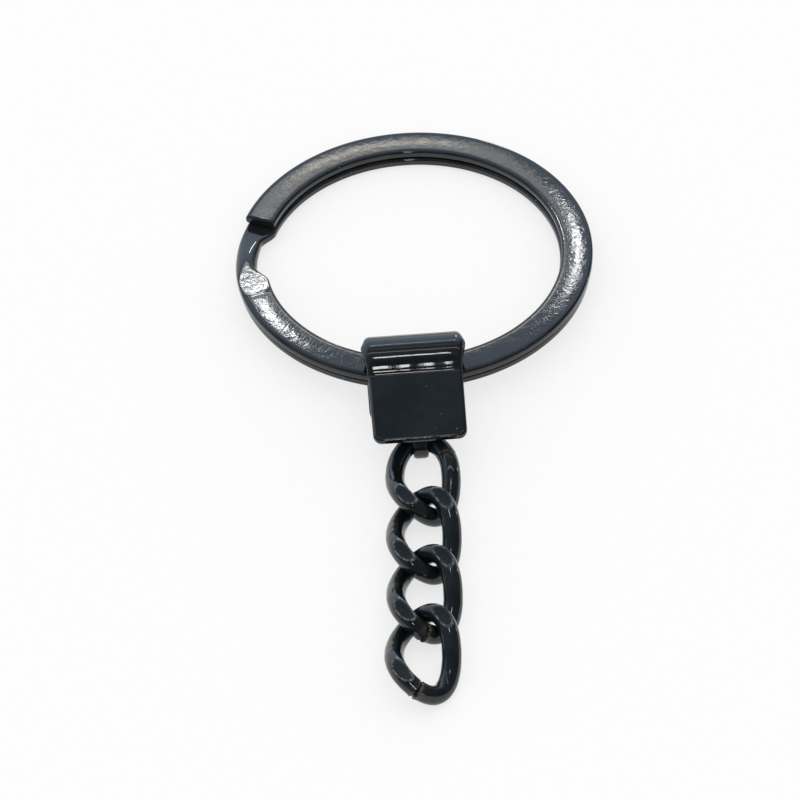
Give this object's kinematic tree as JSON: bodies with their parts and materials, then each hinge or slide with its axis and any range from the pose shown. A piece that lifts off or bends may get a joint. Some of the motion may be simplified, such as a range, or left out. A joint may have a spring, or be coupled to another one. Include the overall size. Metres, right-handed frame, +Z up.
{
  "type": "split key ring",
  "caption": "Flat split key ring with a folded sheet clasp that swings on it and a short twisted curb chain, all in gloss black.",
  "frame": {"origin": "centre of the bounding box's footprint, on the table that the key ring lies on", "axes": "+Y from the chain's end to the ring's far side, +Z up from the table, +X across the clasp"},
  "size_m": [0.03, 0.0624, 0.0054],
  "materials": {
    "ring_enamel": "gloss black enamel over a pressed flat steel wire, slight orange peel, thin at the edges",
    "clasp_enamel": "gloss black enamel over folded steel sheet, smooth on the leaf, dusty at the fold's sides",
    "chain_enamel": "gloss black enamel over round steel wire, with flat pressed facets and bright scuffs at their rims"
  },
  "bodies": {
    "ring": {"split_ring": "ring_enamel"},
    "clasp": {"clasp": "clasp_enamel"},
    "link_1": {"chain_link_1": "chain_enamel"},
    "link_2": {"chain_link_2": "chain_enamel"},
    "link_3": {"chain_link_3": "chain_enamel"},
    "link_4": {"chain_link_4": "chain_enamel"}
  },
  "joints": [
    {"name": "clasp_swing", "type": "hinge", "parent": "ring", "child": "clasp", "pos_m": [-0.00047, 0.00304, 0.0027], "axis": [0.9997, 0.0262, 0], "range_deg": [-110, 80]},
    {"name": "link_1_swing", "type": "hinge", "parent": "clasp", "child": "link_1", "pos_m": [-0.00022, -0.00411, 0.0015], "axis": [1, 0, 0], "range_deg": [-10, 60]},
    {"name": "link_2_swing", "type": "hinge", "parent": "link_1", "child": "link_2", "pos_m": [-0.00036, -0.01111, 0.0015], "axis": [0.9998, -0.0209, 0], "range_deg": [-15, 15]},
    {"name": "link_3_swing", "type": "hinge", "parent": "link_2", "child": "link_3", "pos_m": [-0.00053, -0.01726, 0.0015], "axis": [0.9997, -0.0244, 0], "range_deg": [-15, 15]},
    {"name": "link_4_swing", "type": "hinge", "parent": "link_3", "child": "link_4", "pos_m": [-0.00088, -0.02341, 0.0015], "axis": [0.9994, -0.0349, 0], "range_deg": [-15, 15]}
  ]
}
